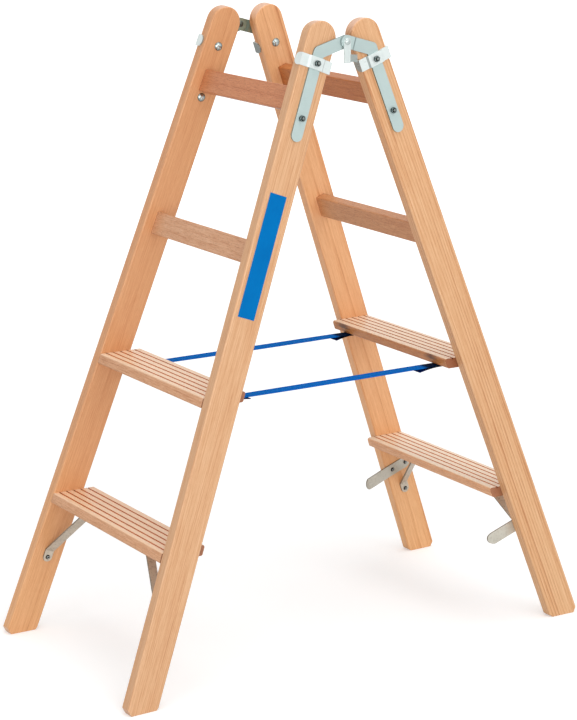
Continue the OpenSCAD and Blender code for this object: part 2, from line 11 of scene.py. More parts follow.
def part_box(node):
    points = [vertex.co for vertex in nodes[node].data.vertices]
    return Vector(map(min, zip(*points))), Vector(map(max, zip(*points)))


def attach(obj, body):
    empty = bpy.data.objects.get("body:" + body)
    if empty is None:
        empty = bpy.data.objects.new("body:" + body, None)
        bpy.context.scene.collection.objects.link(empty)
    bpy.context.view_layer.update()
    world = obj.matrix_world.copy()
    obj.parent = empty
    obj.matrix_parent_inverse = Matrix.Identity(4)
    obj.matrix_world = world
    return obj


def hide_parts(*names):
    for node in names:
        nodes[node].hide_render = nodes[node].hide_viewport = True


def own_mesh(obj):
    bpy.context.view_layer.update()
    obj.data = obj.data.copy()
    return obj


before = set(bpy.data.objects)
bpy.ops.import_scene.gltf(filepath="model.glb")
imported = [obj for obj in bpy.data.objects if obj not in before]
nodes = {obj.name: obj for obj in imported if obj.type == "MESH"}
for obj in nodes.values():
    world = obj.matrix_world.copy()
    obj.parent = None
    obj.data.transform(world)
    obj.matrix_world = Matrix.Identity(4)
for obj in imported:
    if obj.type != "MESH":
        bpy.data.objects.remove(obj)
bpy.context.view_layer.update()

# Sizes repeated from the part, in metres and radians
TILT = math.radians(20.25)
FLARE = math.radians(3.6)
HALF_SPACING = 0.240
FOOT_X = 0.468658
HALF_STILE = 0.0305
STILE_THICK = 0.024
FIRST_RISE = 0.289
STEP_PITCH = 0.280
TOP_STEP = 3
HEAD_RISE = 0.120
TREAD_THICK = 0.019
TREAD_DEPTH = 0.088
GROOVE_COUNT = 5
GROOVE_W = 0.0025
GROOVE_DEEP = 0.0025
GROOVE_MARGIN = 0.0115
GROOVE_PITCH = 0.01475
RUNG_H = 0.0425
RUNG_THICK = 0.020
BOLT_DROP = 0.076
BOLT_D = 0.006
BOLT_HEAD_D = 0.016
BOLT_HEAD_H = 0.0035
BOLT_RUNG_GAP = 0.0013
NUT_FLATS = 0.010
NUT_H = 0.005
THREAD_END = 0.003
ARM_THICK = 0.003
BAND_GRIP = 0.0026
SCREW_D = 0.004
SCREW_HEAD_D = 0.009
SCREW_HEAD_H = 0.0028
BRACE_DROP = 0.113
BRACE_REACH = 0.112
GUIDE_DROP = 0.057
GUIDE_SCREWS = 0.034
PLATE = 0.003
STRAP_W = 0.025
STRAP_THICK = 0.0016
STRAP_GAP = 0.0003
STRAP_INSET = 0.044
STRAP_HOLD = 0.032
STRAP_TAIL = 0.014

# Straps as the scene hangs them: doubled tails and their droop, sag and sideways lean of the middle
STRAP_FOLD = {"front": 0.035, "rear": 0.042}
FAR_REAR_SHARE = 0.75
STRAP_DROOP = {"front": 0.0030, "rear": 0.0055}
STRAP_SAG = 0.0006
STRAP_LEAN = 0.05
STRAP_CLEAR = 0.0001
STRAP_TURN = 0.53 * STRAP_THICK
STRAP_ROWS = 90
FIRST_ROWS = (0.0, 0.0001)
NEXT_ROW = 0.003

# Weave of the straps, their paler middle line, the stretch of painted shade by the rear tread, and the
# stitches
WARP_PITCH = 0.00125
WEFT_PITCH = 0.0016
CORE_FADE = (0.0006, 0.0016)
STRAP_SHADE_FROM = 0.034
STRAP_SHADE_TO = 0.022
STITCH_HALF = 0.0016
STITCH_R = 0.0004
STITCH_FROM = 0.006
STITCH_TO = 0.012
STITCH_ASIDE = 0.0095
STITCH_DROP = 0.0003

# Small shapes on the fasteners
THREAD_PITCH = 0.001
THREAD_DEPTH = 0.0005
THREAD_TAPER = 0.0007
BORE_GAP = 0.0001
BORE_BEVEL = 0.0005
NUT_RING = 0.97
NECK = 0.002
HEAD_ROUND = 0.0003
HEAD_BAND = 0.0006
SCREW_NECK = 0.003
SLOT_HALF = 0.00055
SLOT_REACH = 0.0026
SLOT_HUB = 0.0011
SLOT_DEEP = 0.0017

# Reach of the painted light on the feet and of the painted shade at the joints
FOOT_LIGHT_FADE = (0.05, 0.45)
JOINT_SHADE_FADE = (0.0003, 0.0014)

# Marks on the treads: slack round a groove, its lip and its dark end, both painted shade, the rim with less
# painted sheen, and the dark places by the straps
GROOVE_SLACK = 0.0002
TOP_SLACK = 0.00008
LIP_W = 0.0020
LIP_DEEP = 0.0004
GROOVE_END = 0.010
RIM_W = 0.004
RIM_FADE = 0.001
RIM_SHEEN = 0.45
MARK_SHIFT = 0.006
MARK_FADE = (0.004, 0.026)
MARK_UNEVEN = 0.003
MARK_FACE = 0.0035

# Distance within which points of a mesh are one point
MERGE = 1e-6


# Places: heights are z above the floor, v along a section and u along a stile

def step_v(order):
    """Height of a step along the section; the lowest step has order 0."""
    return FIRST_RISE + order * STEP_PITCH


def inner_y(v):
    """Distance of a stile's inner face from the middle of the ladder, at height v."""
    return HALF_SPACING - v * math.tan(FLARE) - STILE_THICK / 2 / math.cos(FLARE)


RUNG_DIP = RUNG_THICK / 2 * math.tan(TILT)
UNDER_Z = {i: step_v(i) * math.cos(TILT) - TREAD_THICK for i in (0, 1)}
UNDER_V = {i: z / math.cos(TILT) for i, z in UNDER_Z.items()}
UPPER_BOLT_V = step_v(TOP_STEP) + HEAD_RISE - BOLT_DROP
LOWER_BOLT_V = step_v(TOP_STEP) - RUNG_DIP - RUNG_H - BOLT_RUNG_GAP - BOLT_HEAD_D / 2
BOLT_US = {"upper": UPPER_BOLT_V / math.cos(FLARE), "lower": LOWER_BOLT_V / math.cos(FLARE)}
BRACE_U = (UNDER_V[0] - BRACE_DROP) / math.cos(FLARE)
GUIDE_U = (UNDER_V[0] - GUIDE_DROP) / math.cos(FLARE)
STRAP_Y = inner_y(UNDER_V[1]) - STRAP_INSET
TREAD_EDGE_X = FOOT_X - UNDER_Z[1] * math.tan(TILT) + HALF_STILE / math.cos(TILT) - TREAD_DEPTH
STRAP_SCREW_X = TREAD_EDGE_X + STRAP_HOLD
STRAP_END_X = STRAP_SCREW_X + STRAP_TAIL
STRAP_STACK = 2 * STRAP_THICK + 2 * STRAP_GAP
BOLT_GRIPS = {"upper": STILE_THICK + ARM_THICK + BAND_GRIP, "lower": STILE_THICK + ARM_THICK}


def section_axes(rear):
    """Depth and height directions of a section: the upright frame turned by the tilt about Y, and mirrored
    for the rear."""
    side = -1.0 if rear else 1.0
    depth = np.array([side * math.cos(TILT), 0.0, -math.sin(TILT)])
    height = np.array([side * math.sin(TILT), 0.0, math.cos(TILT)])
    return depth, height


def stile_axes(rear, far):
    """Depth, thickness (towards the inner face) and length directions of a stile, and its origin on the
    floor: the section's frame turned by the flare."""
    depth, height = section_axes(rear)
    inward = np.array([0.0, -1.0 if far else 1.0, 0.0])
    thick = math.cos(FLARE) * inward - math.sin(FLARE) * height
    length = math.sin(FLARE) * inward + math.cos(FLARE) * height
    origin = np.array([FOOT_X if rear else -FOOT_X, HALF_SPACING if far else -HALF_SPACING, 0.0])
    return depth, thick, length, origin


def turned(points, axis, across, origin):
    """Points given as (x, y, z) with z along axis and x along across, carried to origin."""
    z = np.asarray(axis, float) / np.linalg.norm(axis)
    x = np.asarray(across, float) - np.dot(across, z) * z
    x = x / np.linalg.norm(x)
    y = np.cross(z, x)
    return origin + points[..., 0:1] * x + points[..., 1:2] * y + points[..., 2:3] * z


# Meshes

def grid_faces(rows, cols, wrap_rows, wrap_cols):
    """Quads between neighbouring points of a grid; a wrapped direction joins its last line to its first."""
    i = np.arange(rows if wrap_rows else rows - 1)
    j = np.arange(cols if wrap_cols else cols - 1)
    i, j = np.meshgrid(i, j, indexing="ij")
    i2, j2 = (i + 1) % rows, (j + 1) % cols
    return np.stack([i * cols + j, i2 * cols + j, i2 * cols + j2, i * cols + j2], -1).reshape(-1, 4)


def close_up(mesh):
    """Merges points that lie on each other, which closes seams and poles, and turns the faces outwards."""
    shell = bmesh.new()
    shell.from_mesh(mesh)
    bmesh.ops.remove_doubles(shell, verts=shell.verts, dist=MERGE)
    bmesh.ops.recalc_face_normals(shell, faces=shell.faces)
    shell.to_mesh(mesh)
    shell.free()
    mesh.update()


def make_piece(name, grids, material, uvs=None, smooth=True, closed=True):
    """One mesh from several grids of points, each (points, wrap_rows, wrap_cols), closed up unless it is a
    sheet."""
    points, faces, count = [], [], 0
    for grid, wrap_rows, wrap_cols in grids:
        rows, cols = grid.shape[:2]
        points.append(grid.reshape(-1, 3))
        faces.append(grid_faces(rows, cols, wrap_rows, wrap_cols) + count)
        count += rows * cols
    points = np.concatenate(points)
    faces = np.concatenate(faces)
    mesh = bpy.data.meshes.new(name)
    mesh.vertices.add(len(points))
    mesh.vertices.foreach_set("co", points.astype(np.float32).ravel())
    mesh.loops.add(faces.size)
    mesh.loops.foreach_set("vertex_index", faces.ravel().astype(np.int32))
    mesh.polygons.add(len(faces))
    mesh.polygons.foreach_set("loop_start", np.arange(0, faces.size, 4, dtype=np.int32))
    mesh.polygons.foreach_set("use_smooth", np.full(len(faces), smooth))
    if uvs is not None:
        layer = mesh.uv_layers.new(name="own")
        flat = np.concatenate([uv.reshape(-1, 2) for uv in uvs])
        layer.uv.foreach_set("vector", flat[faces.ravel()].astype(np.float32).ravel())
    mesh.update(calc_edges=True)
    mesh.validate()
    if closed:
        close_up(mesh)
    mesh.materials.append(material)
    piece = bpy.data.objects.new(name, mesh)
    bpy.context.scene.collection.objects.link(piece)
    return piece


def circle(turns):
    """Angles of the points round a circle."""
    return np.linspace(0, 2 * math.pi, turns, endpoint=False)


def revolve(profile, turns=40):
    """Profile of (radius, height) pairs carried round the z axis."""
    profile = np.asarray(profile, float)
    a = circle(turns)
    r, z = profile[:, 0][:, None], profile[:, 1][:, None]
    return np.stack([r * np.cos(a), r * np.sin(a), z + 0 * a], -1)


def dome_profile(radius, height, steps=9):
    """Circular arc from the rim at height 0 to the top of a cap of that radius and height."""
    ball = (radius ** 2 + height ** 2) / (2 * height)
    a = np.linspace(math.asin(radius / ball), 0.0, steps)
    return np.stack([ball * np.sin(a), ball * np.cos(a) - ball + height], -1)


# Nodes of a material

def shader_tree(name):
    """New node material, with its tree, its surface shader and its texture coordinates."""
    material = bpy.data.materials.new(name)
    material.use_nodes = True
    tree = material.node_tree
    shader = tree.nodes["Principled BSDF"]
    coords = tree.nodes.new("ShaderNodeTexCoord").outputs
    return material, tree, shader, coords


def fill(tree, socket, value):
    """Links a socket to another node's output, or sets it to a constant."""
    if isinstance(value, bpy.types.NodeSocket):
        tree.links.new(value, socket)
    else:
        socket.default_value = value


def put(tree, kind, inputs=None, **settings):
    """Adds a node, sets its options, and sets or links its inputs by name or number."""
    node = tree.nodes.new("ShaderNode" + kind)
    for key, value in settings.items():
        setattr(node, key, value)
    for key, value in (inputs or {}).items():
        fill(tree, node.inputs[key], value)
    return node


def linear(r, g, b):
    """Colour written as 0 to 255 display values, as linear light with alpha."""
    c = np.array([r, g, b], float) / 255
    c = np.where(c <= 0.04045, c / 12.92, ((c + 0.055) / 1.055) ** 2.4)
    return (float(c[0]), float(c[1]), float(c[2]), 1.0)


def ramp(tree, value, stops):
    """Colour ramp through (position, display colour) stops."""
    node = put(tree, "ValToRGB", {"Fac": value})
    bar = node.color_ramp
    for element, (position, colour) in zip(bar.elements, (stops[0], stops[-1])):
        element.position = position
        element.color = linear(*colour)
    for position, colour in stops[1:-1]:
        bar.elements.new(position).color = linear(*colour)
    return node.outputs["Color"]


def span(tree, value, low, high, to_low, to_high):
    """Value between low and high, spread over to_low to to_high."""
    return put(tree, "MapRange", {"Value": value, "From Min": low, "From Max": high,
                                  "To Min": to_low, "To Max": to_high}).outputs["Result"]


def spread(tree, value, to_low, to_high):
    """Noise, which mostly lies between 0.3 and 0.7, spread over to_low to to_high."""
    return span(tree, value, 0.3, 0.7, to_low, to_high)


def math_of(tree, operation, a, b=0.0):
    """One step of arithmetic on two values."""
    return put(tree, "Math", {0: a, 1: b}, operation=operation).outputs[0]


def plus(tree, a, b):
    """Sum of two values."""
    return math_of(tree, "ADD", a, b)


def minus(tree, a, b):
    """First value less the second."""
    return math_of(tree, "SUBTRACT", a, b)


def times(tree, a, b):
    """Product of two values."""
    return math_of(tree, "MULTIPLY", a, b)


def size_of(tree, a):
    """Value without its sign."""
    return math_of(tree, "ABSOLUTE", a)


def weigh(tree, a, share, b):
    """A share of the first value and the rest of the second."""
    return plus(tree, times(tree, a, share), times(tree, b, 1 - share))


def parts(tree, vector):
    """X, Y and Z of a vector."""
    return put(tree, "SeparateXYZ", {"Vector": vector}).outputs


def mixed(tree, how, amount, a, b):
    """Colours a and b mixed by amount."""
    node = put(tree, "Mix", data_type="RGBA", blend_type=how)
    for number, value in ((0, amount), (6, a), (7, b)):
        fill(tree, node.inputs[number], value)
    return node.outputs[2]


def tinted(tree, colour, amount, tint):
    """Colour multiplied by a tint, by amount."""
    return mixed(tree, "MULTIPLY", amount, colour, tint)


def noise(tree, vector, scale, shift, rough=0.5, detail=2.0):
    """Noise on a space stretched by scale = (x, y, z), moved by shift."""
    stretched = put(tree, "Mapping", {"Vector": vector, "Scale": scale,
                                      "Location": (shift, shift * 0.7, shift * 1.3)})
    return put(tree, "TexNoise", {"Vector": stretched.outputs["Vector"], "Scale": 1.0, "Detail": detail,
                                  "Roughness": rough}).outputs["Fac"]


def emboss(tree, shader, height, strength, distance):
    """Bump on the shader, from a height."""
    bump = put(tree, "Bump", {"Height": height, "Strength": strength, "Distance": distance})
    tree.links.new(bump.outputs["Normal"], shader.inputs["Normal"])


# Timber

# Noise layers: waves per metre across, through and along the grain, step of the seed, roughness and detail
LAYERS = {
    "wander": ((6, 6, 0.8), 0, 0.5, 2.0),
    "ripple": ((40, 40, 4), 3, 0.5, 2.0),
    "gain": ((45, 45, 0.7), 9, 0.6, 2.0),
    "streak": ((170, 170, 1.8), 5, 0.6, 2.0),
    "beech_fibre": ((850, 850, 36), 7, 0.6, 2.0),
    "pine_fibre": ((850, 850, 12), 7, 0.6, 2.0),
    "pore": ((1700, 1700, 90), 13, 0.6, 2.0),
    "blotch": ((12, 12, 1.2), 11, 0.5, 1.0),
}
FLECK_CELLS = (620, 620, 110)

# How much the layers count: rings bent in metres, powers of the close and sparse rings, and depths of tone
WANDER = 0.005
RIPPLE = 0.0005
RING_STRETCH = 0.02
RING_POWERS = (2.2, 7.0)
RING_LEAST = 0.3
STREAK_DEPTH = (0.24, 0.38)
BEECH_DEPTH = 0.42
PORE_DEPTH = 0.16

# Ramp from pale early wood to dark late wood, as shares of a timber's middle colour
WOOD_STOPS = [
    (0.0, (1.045, 1.085, 1.13)),
    (0.35, (1.0, 1.0, 1.0)),
    (0.7, (0.945, 0.89, 0.83)),
    (1.0, (0.85, 0.74, 0.64)),
]

# Tints that multiply the colour below them; the joint and groove tints are painted shade
BLOTCH_TINT = (1.0, 0.88, 0.78, 1.0)
FLECK_TINT = (0.42, 0.28, 0.20, 1.0)
JOINT_SHADE_TINT = (0.42, 0.24, 0.15, 1.0)
GROOVE_SHADE_TINT = (0.95, 0.50, 0.26, 1.0)
LIP_SHADE_TINT = (0.84, 0.50, 0.28, 1.0)
GROOVE_END_SHADE_TINT = (0.12, 0.08, 0.06, 1.0)
MARK_TINT = (0.26, 0.24, 0.28, 1.0)


def grain_space(tree, coords, axes, origin):
    """Object coordinates turned so that z runs along the grain and y through the thickness, with origin at
    zero."""
    thick, length = axes
    rows = Matrix([list(np.cross(thick, length)), list(thick), list(length)])
    shift = -(rows @ Vector(list(origin)))
    return put(tree, "Mapping", {"Vector": coords["Object"], "Rotation": rows.to_euler("XYZ"),
                                 "Location": shift}).outputs["Vector"]


def layer_of(tree, local, kind, seed):
    """One noise layer of a timber."""
    scale, step, rough, detail = LAYERS[kind]
    return noise(tree, local, scale, seed + step, rough, detail)


def ring_tone(tree, local, seed, rings):
    """Depth of tone of the growth rings. The distance from a pith line beside the board (rings gives its
    place and the slant of the grain), bent by a wander and a ripple, is cut into rings of two pitches, close
    and sparse. Tone falls across a ring as a power of the way through it, and ends in a dark line, stronger
    in some places than in others."""
    pith, slant, close, sparse = rings
    moved = put(tree, "Mapping", {"Vector": local, "Scale": (1, 1, RING_STRETCH), "Rotation": (0, slant, 0),
                                  "Location": (pith[0], pith[1], 0)}).outputs["Vector"]
    radius = put(tree, "VectorMath", {0: moved}, operation="LENGTH").outputs["Value"]
    for kind, reach in (("wander", WANDER), ("ripple", RIPPLE)):
        radius = plus(tree, radius, span(tree, layer_of(tree, local, kind, seed), 0.25, 0.75, -reach, reach))
    gain = layer_of(tree, local, "gain", seed)
    late = 0.0
    for (pitch, strength), power in zip((close, sparse), RING_POWERS):
        through = math_of(tree, "FRACT", math_of(tree, "DIVIDE", radius, pitch))
        local_strength = span(tree, gain, 0.38, 0.62, RING_LEAST * strength, strength)
        late = plus(tree, times(tree, math_of(tree, "POWER", through, power), local_strength), late)
    return late


def free_length(tree, place, half, across, through):
    """Distance from the nearer stile, along a board between two stiles: half its length, which changes by
    across and through over its width and thickness, less the distance from its middle."""
    reach = plus(tree, times(tree, place["X"], across), times(tree, place["Y"], through))
    return minus(tree, plus(tree, reach, half), size_of(tree, place["Z"]))


def top_sheen(tree, colour, coords, place, top_tone, dark_rim):
    """Painted sheen: paler wood where the surface of a tread looks up, and less of it along its rim at
    dark_rim, as painted shade on the rounded edge.
    """
    upward = span(tree, parts(tree, coords["Normal"])["Z"], 0.6, 0.95, 0.0, 0.8)
    rim = size_of(tree, minus(tree, place["X"], dark_rim))
    upward = times(tree, upward, span(tree, rim, RIM_W - RIM_FADE, RIM_W, RIM_SHEEN, 1.0))
    return mixed(tree, "MIX", upward, colour, linear(*top_tone))


def groove_shade(tree, colour, place, free):
    """Grip grooves, with painted shade inside and at their lips, darkest where they meet the stiles. A place
    is in one where it is within half its width of a groove's middle line and between the top and its floor."""
    run = minus(tree, place["X"], GROOVE_MARGIN)
    half_run = (GROOVE_COUNT - 1) / 2 * GROOVE_PITCH
    aside = math_of(tree, "PINGPONG", run, GROOVE_PITCH / 2)
    near = math_of(tree, "LESS_THAN", aside, GROOVE_W / 2 + GROOVE_SLACK)
    among = math_of(tree, "LESS_THAN", size_of(tree, minus(tree, run, half_run)), half_run + GROOVE_W)
    below = math_of(tree, "LESS_THAN", place["Y"], -TOP_SLACK)
    above = math_of(tree, "GREATER_THAN", place["Y"], -GROOVE_DEEP - GROOVE_SLACK)
    inside = times(tree, times(tree, near, among), times(tree, below, above))
    colour = tinted(tree, colour, inside, GROOVE_SHADE_TINT)
    lip = times(tree, span(tree, aside, GROOVE_W / 2, GROOVE_W / 2 + LIP_W, 1.0, 0.0), among)
    lip = times(tree, lip, math_of(tree, "GREATER_THAN", place["Y"], -LIP_DEEP))
    colour = tinted(tree, colour, lip, LIP_SHADE_TINT)
    ending = span(tree, free, 0.0, GROOVE_END, 1.0, 0.0)
    return tinted(tree, colour, times(tree, inside, ending), GROOVE_END_SHADE_TINT)


def dark_strap_marks(tree, colour, place, blotch, strength):
    """Dark marks on a tread's inner face at the two straps, strongest in the middle, with uneven rims."""
    along = minus(tree, place["Z"], MARK_SHIFT)
    aside = size_of(tree, minus(tree, size_of(tree, along), STRAP_Y))
    aside = plus(tree, aside, spread(tree, blotch, -MARK_UNEVEN, MARK_UNEVEN))
    on_face = math_of(tree, "GREATER_THAN", place["X"], TREAD_DEPTH - MARK_FACE)
    mark = times(tree, span(tree, aside, *MARK_FADE, strength, 0.0), on_face)
    return tinted(tree, colour, mark, MARK_TINT)


def wood(name, axes, origin, middle, seed, rings, end_tone, fibre=("beech_fibre", BEECH_DEPTH), flecks=0.0,
         foot_light=None, ends=None, joint_shade=0.0, top_tone=None, dark_rim=0.0, strap_marks=0.0):
    """Planed wood, with the grain along the second of axes. Rings, streaks, fibres and pores add up to a
    depth of tone on a ramp about the middle colour, with reddish blotches and short flecks over it, and end
    grain has its own tone, paler on the stiles as a painted sheen on their heads and darker on the treads
    partly as painted shade. A stile can be paler towards its foot (foot_light), which is painted light. A
    board between two stiles (ends gives half its length, and how that changes across and through it) darkens
    at its joints with painted shade. A tread has a top made paler by a painted sheen (top_tone), grooves
    darkened by painted shade, and sometimes dark marks by the straps."""
    material, tree, shader, coords = shader_tree(name)
    local = grain_space(tree, coords, axes, origin)
    place = parts(tree, local)
    late = ring_tone(tree, local, seed, rings)
    fibre_kind, fibre_depth = fibre
    streak = layer_of(tree, local, "streak", seed)
    fibres = layer_of(tree, local, fibre_kind, seed)
    pore = layer_of(tree, local, "pore", seed)
    blotch = layer_of(tree, local, "blotch", seed)
    depth = plus(tree, late, spread(tree, streak, *STREAK_DEPTH))
    depth = plus(tree, depth, spread(tree, fibres, -fibre_depth, fibre_depth))
    depth = plus(tree, depth, spread(tree, pore, -PORE_DEPTH, PORE_DEPTH))
    stops = [(at, tuple(m * k for m, k in zip(middle, shares))) for at, shares in WOOD_STOPS]
    colour = ramp(tree, depth, stops)
    colour = tinted(tree, colour, span(tree, blotch, 0.45, 0.70, 0.0, 0.25), BLOTCH_TINT)
    height = minus(tree, times(tree, pore, 0.7), times(tree, late, 0.3))
    if flecks:
        cells = put(tree, "Mapping", {"Vector": local, "Scale": FLECK_CELLS,
                                      "Location": (seed, 2 * seed, seed)}).outputs["Vector"]
        fleck = put(tree, "TexVoronoi", {"Vector": cells, "Scale": 1.0}).outputs["Distance"]
        fleck = span(tree, fleck, 0.12, 0.34, flecks, 0.0)
        colour = tinted(tree, colour, fleck, FLECK_TINT)
        height = minus(tree, height, fleck)
    facing = put(tree, "VectorMath", {0: coords["Normal"], 1: list(axes[1])}, operation="DOT_PRODUCT")
    end = span(tree, size_of(tree, facing.outputs["Value"]), 0.45, 0.9, 0.0, 0.75)
    colour = mixed(tree, "MIX", end, colour, linear(*end_tone))
    if foot_light:
        # Painted light: paler towards the foot
        colour = tinted(tree, colour, span(tree, place["Z"], *FOOT_LIGHT_FADE, 1.0, 0.0), foot_light)
    if ends:
        free = free_length(tree, place, *ends)
        # Painted shade where the board meets the stiles
        colour = tinted(tree, colour, span(tree, free, *JOINT_SHADE_FADE, joint_shade, 0.0), JOINT_SHADE_TINT)
    if top_tone:
        # Painted sheen on the top of a tread, weaker along its rim
        colour = top_sheen(tree, colour, coords, place, top_tone, dark_rim)
        # Painted shade in the grooves, darkest at their ends by the stiles
        colour = groove_shade(tree, colour, place, free)
    if strap_marks:
        colour = dark_strap_marks(tree, colour, place, blotch, strap_marks)
    tree.links.new(colour, shader.inputs["Base Color"])
    tree.links.new(spread(tree, pore, 0.34, 0.46), shader.inputs["Roughness"])
    emboss(tree, shader, height, 0.3, 0.0003)
    return material


# Stiles: rear, far, middle colour, seed, depth of the fibres and tint of the painted light on a paler foot
STILES = {
    "front_stile_near": (False, False, (211, 163, 121), 1.0, 0.32, None),
    "front_stile_far": (False, True, (211, 152, 105), 4.0, 0.26, (1.17, 1.30, 1.36, 1.0)),
    "rear_stile_near": (True, False, (216, 168, 124), 9.0, 0.32, (1.04, 1.09, 1.11, 1.0)),
    "rear_stile_far": (True, True, (229, 171, 121), 14.0, 0.26, (1.06, 1.12, 1.10, 1.0)),
}
# Rings of the stiles: pith place, slant, and pitch and strength of the close and of the sparse ones
STILE_RINGS = {
    "front_stile_near": ((0.075, 0.050), 0.010, (0.0034, 0.30), (0.024, 0.22)),
    "front_stile_far": ((-0.050, 0.047), -0.006, (0.0026, 0.28), (0.028, 0.40)),
    "rear_stile_near": ((0.062, 0.040), -0.008, (0.0054, 0.85), (0.030, 0.55)),
    "rear_stile_far": ((-0.072, 0.044), 0.004, (0.0070, 0.10), (0.023, 1.25)),
}
# End tone of the stiles, paler to paint the sheen on their rounded heads
STILE_END_TONE = (228, 186, 160)
for name, (rear, far, middle, seed, fibre_depth, foot_light) in STILES.items():
    _, thick, length, origin = stile_axes(rear, far)
    rings = STILE_RINGS[name]
    nodes[name].data.materials[0] = wood(
        name + "_timber", (thick, length), origin, middle, seed, rings, STILE_END_TONE,
        fibre=("pine_fibre", fibre_depth), foot_light=foot_light)

# Rungs: rear, order from the floor, middle colour, seed and strength of the sparse rings; the darker middles
# of the rear rungs are partly painted shade
RUNGS = {
    "front_rung_lower": (False, 2, (208, 156, 118), 16.0, 0.12),
    "front_rung_upper": (False, 3, (199, 129, 86), 18.0, 0.70),
    "rear_rung_lower": (True, 2, (197, 139, 94), 21.0, 0.25),
    "rear_rung_upper": (True, 3, (187, 114, 61), 23.0, 0.25),
}
BOARD_PITH = (0.03, 0.06)
BOARD_SLANT = 0.01
RUNG_END_TONE = (150, 92, 64)
for name, (rear, order, middle, seed, lines) in RUNGS.items():
    depth = section_axes(rear)[0]
    low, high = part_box(name)
    half = inner_y(step_v(order) - RUNG_DIP - RUNG_H / 2)
    rings = (BOARD_PITH, BOARD_SLANT, (0.0070, 0.15), (0.019, lines))
    nodes[name].data.materials[0] = wood(
        name + "_timber", (depth, np.array([0.0, 1.0, 0.0])), (low + high) / 2, middle, seed, rings,
        RUNG_END_TONE, flecks=0.6, ends=(half, math.tan(FLARE) * (1 if rear else -1), 0.0), joint_shade=0.65)

# Treads: rear, order from the floor, middle colour, tone of the painted sheen on the top, seed and strength
# of strap marks
TREADS = {
    "front_tread_lower": (False, 0, (212, 158, 117), (252, 217, 182), 2.0, 0.0),
    "front_tread_upper": (False, 1, (212, 158, 117), (253, 224, 193), 6.0, 0.0),
    "rear_tread_lower": (True, 0, (222, 166, 122), (255, 236, 210), 8.0, 0.0),
    # The upper rear tread's darker middle colour is partly painted shade
    "rear_tread_upper": (True, 1, (185, 122, 72), (255, 230, 202), 12.0, 0.85),
}
TREAD_RINGS = (BOARD_PITH, BOARD_SLANT, (0.0042, 0.30), (0.020, 0.3))
# End tone of the treads: dark end grain, partly painted shade
TREAD_END_TONE = (138, 82, 56)
for name, (rear, order, middle, top_tone, seed, strap_marks) in TREADS.items():
    side = 1.0 if rear else -1.0
    top = UNDER_Z[order] + TREAD_THICK
    edge = np.array([side * (FOOT_X - top * math.tan(TILT) + HALF_STILE / math.cos(TILT)), 0.0, top])
    axes = (np.array([0.0, 0.0, 1.0]), np.array([0.0, side, 0.0]))
    ends = (inner_y(step_v(order)), 0.0, -math.tan(FLARE) / math.cos(TILT))
    nodes[name].data.materials[0] = wood(
        name + "_timber", axes, edge, middle, seed, TREAD_RINGS, TREAD_END_TONE, flecks=0.45, ends=ends,
        joint_shade=0.3, top_tone=top_tone, dark_rim=0.0 if rear else TREAD_DEPTH, strap_marks=strap_marks)


# Metal, cloth and film

SPECKLE_TINT = (0.45, 0.40, 0.34, 1.0)
# Painted shade on the straps: by the rear tread, on the doubled tail and on the underside
UNDER_TREAD_SHADE_TINT = (0.20, 0.06, 0.06, 1.0)
TAIL_SHADE_TINT = (0.20, 0.10, 0.22, 1.0)
UNDERSIDE_SHADE_TINT = (0.25, 0.20, 0.42, 1.0)


def steel(name, bright, dull, rough, seed, brush=(40, 40, 900), inner=None, edge=None, speckle=0.0):
    """Zinc-plated steel: faintly cloudy bright and dull tone, fine rolling lines, and small nicks in the
    bump. Faces that look into the ladder can be darkened by painted shade and a painted dark reflection, and
    the cut edges by painted shade (edge gives the axis that tells them, the two shares of it between which
    they begin, and their tone). Dull plate can have dark speckles."""
    material, tree, shader, coords = shader_tree(name)
    space = coords["Object"]
    cloud = noise(tree, space, (38, 38, 38), seed)
    grain = noise(tree, space, (420, 420, 420), seed + 2)
    lines = noise(tree, space, brush, seed + 4)
    tone = weigh(tree, cloud, 0.7, lines)
    colour = ramp(tree, tone, [(0.3, dull), (0.7, bright)])
    normal = parts(tree, coords["Normal"])
    # Painted shade on the cut edges
    if edge:
        axis, start, end, tint = edge
        colour = tinted(tree, colour, span(tree, size_of(tree, normal[axis]), start, end, 0.0, 1.0), tint)
    if speckle:
        spots = noise(tree, space, (260, 260, 260), seed + 6, 0.6)
        colour = tinted(tree, colour, span(tree, spots, 0.52, 0.72, 0.0, speckle), SPECKLE_TINT)
    # Painted shade and dark reflection on faces that look into the ladder
    if inner:
        place = parts(tree, space)
        for axis in ("X", "Y"):
            outward = times(tree, normal[axis], math_of(tree, "SIGN", place[axis]))
            colour = tinted(tree, colour, span(tree, outward, -0.7, -0.5, 1.0, 0.0), inner)
    tree.links.new(colour, shader.inputs["Base Color"])
    shader.inputs["Metallic"].default_value = 0.4
    tree.links.new(spread(tree, tone, rough + 0.06, rough - 0.04), shader.inputs["Roughness"])
    emboss(tree, shader, plus(tree, lines, times(tree, grain, 0.3)), 0.03, 0.0002)
    return material


def fastener(name, stops, rough):
    """Plated fastener: tone runs along its own profile (the map's second axis), with painted shade and dark
    reflections low down and in recesses, a painted highlight on the crown, and a fine grain."""
    material, tree, shader, coords = shader_tree(name)
    profile = parts(tree, put(tree, "UVMap", uv_map="own").outputs["UV"])["Y"]
    grain = noise(tree, coords["Object"], (900, 900, 900), 3.0)
    tone = plus(tree, profile, spread(tree, grain, -0.05, 0.05))
    tree.links.new(ramp(tree, tone, stops), shader.inputs["Base Color"])
    shader.inputs["Metallic"].default_value = 1.0
    tree.links.new(spread(tree, grain, rough - 0.06, rough + 0.08), shader.inputs["Roughness"])
    emboss(tree, shader, grain, 0.08, 0.0001)
    return material


